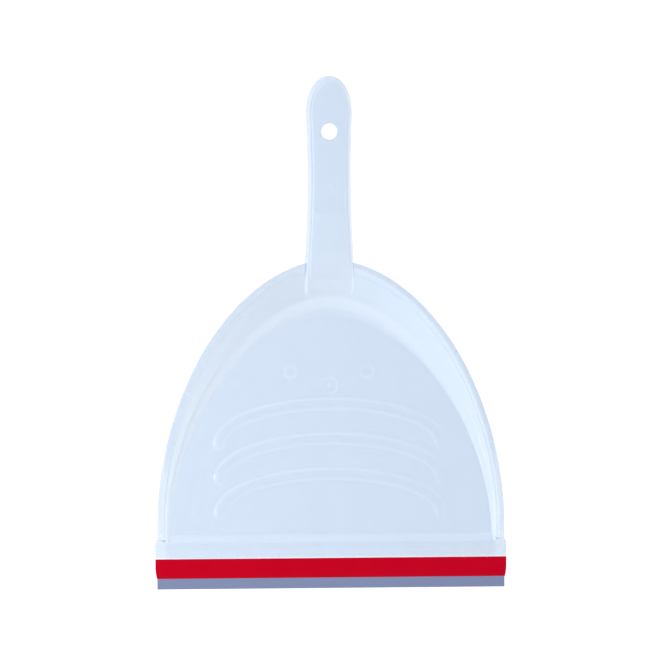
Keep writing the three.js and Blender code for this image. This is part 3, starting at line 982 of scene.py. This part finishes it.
def pan_material():
    """Clear plastic with a faint blue haze, a moulded grain and glossy skin, and painted light:
    paler and darker tones by tilt and by place.
    """
    made, tree = material("pan_clear")
    grain = noise(tree, 900.0, 3.0)
    flow = noise(tree, 14.0, 2.0, (1.0, 0.45, 1.0))
    streaks = noise(tree, 330.0, 1.0, (1.0, 0.03, 1.0))
    haze = colours().pan_haze
    drift = add(tree, "ShaderNodeMath", operation="ADD", _0=flow, _1=streaks).outputs[0]
    tone = shade(tree, between(tree, drift, (0.7, 1.3), (0.0, 1.0)), darker(haze, 0.95), haze)
    skin = add(
        tree, "ShaderNodeBsdfPrincipled",
        Base_Color=tone,
        Roughness=spread(tree, grain, 0.12, 0.2), IOR=1.49,
        Normal=bump(tree, grain, 0.05, 0.00005),
    ).outputs["BSDF"]
    tint = (*colours().pan_tint, 1.0)
    clear = add(tree, "ShaderNodeBsdfTransparent", Color=tint).outputs["BSDF"]
    facing = add(tree, "ShaderNodeLayerWeight", Blend=0.35).outputs["Facing"]
    solid = ramp(tree, facing, HAZE_AND_PAINTED_LIGHT_BY_TILT)
    place = add(tree, "ShaderNodeTexCoord").outputs["Object"]
    way = add(tree, "ShaderNodeSeparateXYZ", Vector=place).outputs
    aside = add(tree, "ShaderNodeMath", operation="ABSOLUTE", _0=way["X"]).outputs[0]
    # painted tone: the handle's face gets one even haze from its foot to the step, in place of
    # the shading that its bend would give
    foot = ORIGIN.y + foot_start()[0] * MM
    step = ORIGIN.y + STEP_AT * MM
    face = multiply(
        tree,
        between(tree, aside, FACE_EDGE, (1.0, 0.0)),
        between(tree, way["Y"], (foot, foot + 0.0012), (0.0, 1.0)),
        between(tree, way["Y"], (step - 0.0004, step + 0.0004), (1.0, 0.0)),
    )
    solid = blend(tree, face, solid, FACE_HAZE)
    # painted highlights: the haze is thinned, so the plastic looks paler, at the side edges, up
    # the right wall, beside the foot and by the strip
    lip = ORIGIN.y + STRIP_BACK * MM
    # painted light: the right wall is made paler, as if lit from the left
    right_wall_light = multiply(
        tree,
        between(tree, way["X"], RIGHT_WALL, (0.0, RIGHT_WALL_LIGHT)),
        between(tree, facing, RIGHT_TILT, (0.0, 1.0)),
    )
    rim = ORIGIN.y + sizes().rim_back * MM
    # painted highlight: pale lines beside the handle's foot
    foot_edge_highlight = multiply(
        tree,
        between(tree, aside, FOOT_EDGE, (0.0, FOOT_HIGHLIGHT)),
        between(tree, aside, FOOT_EDGE_END, (1.0, 0.0)),
        between(tree, way["Y"], (foot, foot + 0.003), (0.0, 1.0)),
        between(tree, way["Y"], (rim, rim + 0.001), (1.0, 0.0)),
    )
    for painted_light in (
        foot_edge_highlight,
        between(tree, aside, SIDE_EDGE, (0.0, SIDE_HIGHLIGHT)),
        right_wall_light,
        between(tree, way["Y"], span_from(lip, LIP_LINE), (LIP_LINE_HIGHLIGHT, 0.0)),
        between(tree, way["Y"], span_from(lip, LIP_BAND), (LIP_BAND_LIGHT, 0.0)),
    ):
        solid = add(tree, "ShaderNodeMath", operation="SUBTRACT", _0=solid, _1=painted_light).outputs[0]
    mixed = add(tree, "ShaderNodeMixShader", Fac=solid)
    tree.links.new(clear, mixed.inputs[1])
    tree.links.new(skin, mixed.inputs[2])
    lamp = add(tree, "ShaderNodeLightPath").outputs["Is Shadow Ray"]
    lit = add(tree, "ShaderNodeMixShader", Fac=lamp)
    tree.links.new(mixed.outputs["Shader"], lit.inputs[1])
    tree.links.new(add(tree, "ShaderNodeBsdfTransparent").outputs["BSDF"], lit.inputs[2])
    output(tree, lit.outputs["Shader"])
    return made


def strip_material():
    """Satin red extrusion with faint lines along its length."""
    made, tree = material("strip_red")
    lines = noise(tree, 420.0, 2.0, (0.02, 1.0, 1.0))
    cloud = noise(tree, 60.0, 3.0)
    red = colours().strip
    skin = add(
        tree, "ShaderNodeBsdfPrincipled",
        Base_Color=shade(tree, cloud, darker(red, 0.93), red),
        Roughness=spread(tree, cloud, 0.36, 0.46), Specular_IOR_Level=0.05,
        Normal=bump(tree, lines, 0.18, 0.0002),
    ).outputs["BSDF"]
    output(tree, skin)
    return made


def blade_material():
    """Soft grey-blue rubber: matt, with a fine grain."""
    made, tree = material("blade_grey")
    grain = noise(tree, 1400.0, 3.0)
    cloud = noise(tree, 45.0, 2.0)
    grey = colours().blade
    skin = add(
        tree, "ShaderNodeBsdfPrincipled",
        Base_Color=shade(tree, cloud, darker(grey, 0.92), grey),
        Roughness=spread(tree, grain, 0.55, 0.7), Specular_IOR_Level=0.25,
        Normal=bump(tree, grain, 0.25, 0.0002),
    ).outputs["BSDF"]
    output(tree, skin)
    return made


def floor_material():
    """Plain, pale and matt."""
    made, tree = material("studio_floor")
    skin = add(
        tree, "ShaderNodeBsdfPrincipled",
        Base_Color=(*colours().floor, 1.0), Roughness=0.85,
    ).outputs["BSDF"]
    output(tree, skin)
    return made


def finish_piece(made, node, look):
    """Gives a piece its material, hangs it on the body and hides the CAD part it stands for. It
    throws no shadow.
    """
    made.data.materials.clear()
    made.data.materials.append(look)
    for polygon in made.data.polygons:
        polygon.use_smooth = True
        polygon.material_index = 0
    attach(made, BODY)
    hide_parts(node)
    made.visible_diffuse = False
    made.visible_shadow = False


# ---- stage ----------------------------------------------------------------------------------


def add_area(name, place, target, size, energy):
    lamp = bpy.data.lights.new(name, "AREA")
    lamp.shape = "SQUARE"
    lamp.size = size
    lamp.energy = energy
    made = bpy.data.objects.new(name, lamp)
    made.location = place
    made.rotation_euler = (Vector(target) - Vector(place)).to_track_quat("-Z", "Y").to_euler()
    bpy.context.scene.collection.objects.link(made)


WORLD_STRENGTH = 1.15
KEY_PLACE = (-0.95, -0.1, 0.75)
KEY_SIZE = 0.35
KEY_ENERGY = 8.2


def studio_world():
    """White walls all round, brighter on the left and behind, and a dark patch straight
    above."""
    world = bpy.data.worlds.new("studio")
    world.use_nodes = True
    tree = world.node_tree
    tree.nodes.clear()
    direction = add(tree, "ShaderNodeTexCoord").outputs["Generated"]
    way = add(tree, "ShaderNodeSeparateXYZ", Vector=direction)
    above = between(tree, way.outputs["Z"], (0.8, 0.95), (1.0, 0.1))
    left = between(tree, way.outputs["X"], (-1.0, 1.0), (1.4, 0.88))
    behind = between(tree, way.outputs["Y"], (-1.0, 1.0), (0.85, 1.1))
    strength = multiply(tree, above, left, behind, WORLD_STRENGTH)
    sky = add(tree, "ShaderNodeBackground", Color=(1.0, 1.0, 1.0, 1.0), Strength=strength)
    add(tree, "ShaderNodeOutputWorld", Surface=sky.outputs["Background"])
    return world


CAMERA_LENS = 600.0
CAMERA_TURN = math.radians(1.3)
CAMERA_ROLL = math.radians(0.5)
CAMERA_TARGET = (0.0021, ORIGIN.y + 0.1646, 0.0)
VIEW_WIDTH = 0.427


def add_camera():
    """A long lens almost straight above the pan, turned a little to the pan's left."""
    data = bpy.data.cameras.new("camera")
    data.sensor_width = 36.0
    data.lens = CAMERA_LENS
    data.clip_end = 100.0
    made = bpy.data.objects.new("camera", data)
    distance = CAMERA_LENS / data.sensor_width * VIEW_WIDTH
    back = Vector((-math.sin(CAMERA_TURN), 0.0, math.cos(CAMERA_TURN)))
    up = Vector((math.sin(CAMERA_ROLL), math.cos(CAMERA_ROLL), 0.0))
    right = up.cross(back).normalized()
    up = back.cross(right)
    turn = Matrix((right, up, back)).transposed().to_4x4()
    made.matrix_world = Matrix.Translation(Vector(CAMERA_TARGET) + back * distance) @ turn
    bpy.context.scene.collection.objects.link(made)
    bpy.context.scene.camera = made


# ---- operators ------------------------------------------------------------------------------


class DUSTPAN_OT_pan(bpy.types.Operator):
    """Build the clear pan with its ribs, rim and hollow handle"""

    bl_idname = "dustpan.pan"
    bl_label = "Pan"

    def execute(self, context):
        made = pan_body()
        finish_piece(made, "pan", pan_material())
        made.data.set_sharp_from_angle(angle=math.radians(18))
        even = made.modifiers.new("even_shading", "WEIGHTED_NORMAL")
        even.keep_sharp = True
        even.weight = 80
        return {"FINISHED"}


class DUSTPAN_OT_lip_strip(bpy.types.Operator):
    """Build the rigid red strip that grips the pan's front edge"""

    bl_idname = "dustpan.lip_strip"
    bl_label = "Lip strip"

    def execute(self, context):
        made = piece("lip_strip_body", lip_strip())
        finish_piece(made, "lip_strip", strip_material())
        return {"FINISHED"}


class DUSTPAN_OT_lip_blade(bpy.types.Operator):
    """Build the soft blade that is held in the strip"""

    bl_idname = "dustpan.lip_blade"
    bl_label = "Lip blade"

    def execute(self, context):
        made = piece("lip_blade_body", lip_blade())
        finish_piece(made, "lip_blade", blade_material())
        return {"FINISHED"}


class DUSTPAN_OT_stage(bpy.types.Operator):
    """Build the floor, the light and the camera"""

    bl_idname = "dustpan.stage"
    bl_label = "Stage"

    def execute(self, context):
        scene = context.scene
        bm = bmesh.new()
        bmesh.ops.create_grid(bm, x_segments=2, y_segments=2, size=6.0)
        bmesh.ops.translate(bm, vec=(0, 0, -0.0005), verts=bm.verts)
        mesh = bpy.data.meshes.new("studio_floor")
        bm.to_mesh(mesh)
        bm.free()
        mesh.materials.append(floor_material())
        floor = bpy.data.objects.new("studio_floor", mesh)
        scene.collection.objects.link(floor)
        scene.world = studio_world()
        add_area("key_light", KEY_PLACE, (0, 0, 0), KEY_SIZE, KEY_ENERGY)
        add_camera()
        scene.view_settings.view_transform = "Standard"
        return {"FINISHED"}


class DUSTPAN_PT_panel(bpy.types.Panel):
    """Lists the pieces to build"""

    bl_label = "Dustpan"
    bl_space_type = "VIEW_3D"
    bl_region_type = "UI"
    bl_category = "Dustpan"

    def draw(self, context):
        for group in (context.scene.dustpan_sizes, context.scene.dustpan_colours):
            column = self.layout.column()
            for name in group.__annotations__:
                column.prop(group, name)
        for operator in OPERATORS:
            self.layout.operator(operator.bl_idname)


OPERATORS = (DUSTPAN_OT_pan, DUSTPAN_OT_lip_strip, DUSTPAN_OT_lip_blade, DUSTPAN_OT_stage)
CLASSES = (DustpanSizes, DustpanColours, *OPERATORS, DUSTPAN_PT_panel)


def register():
    for item in CLASSES:
        bpy.utils.register_class(item)
    bpy.types.Scene.dustpan_sizes = bpy.props.PointerProperty(type=DustpanSizes)
    bpy.types.Scene.dustpan_colours = bpy.props.PointerProperty(type=DustpanColours)


def unregister():
    del bpy.types.Scene.dustpan_colours
    del bpy.types.Scene.dustpan_sizes
    for item in reversed(CLASSES):
        bpy.utils.unregister_class(item)


def main():
    register()
    bpy.ops.dustpan.pan()
    bpy.ops.dustpan.lip_strip()
    bpy.ops.dustpan.lip_blade()
    bpy.ops.dustpan.stage()


if __name__ == "__main__":
    main()
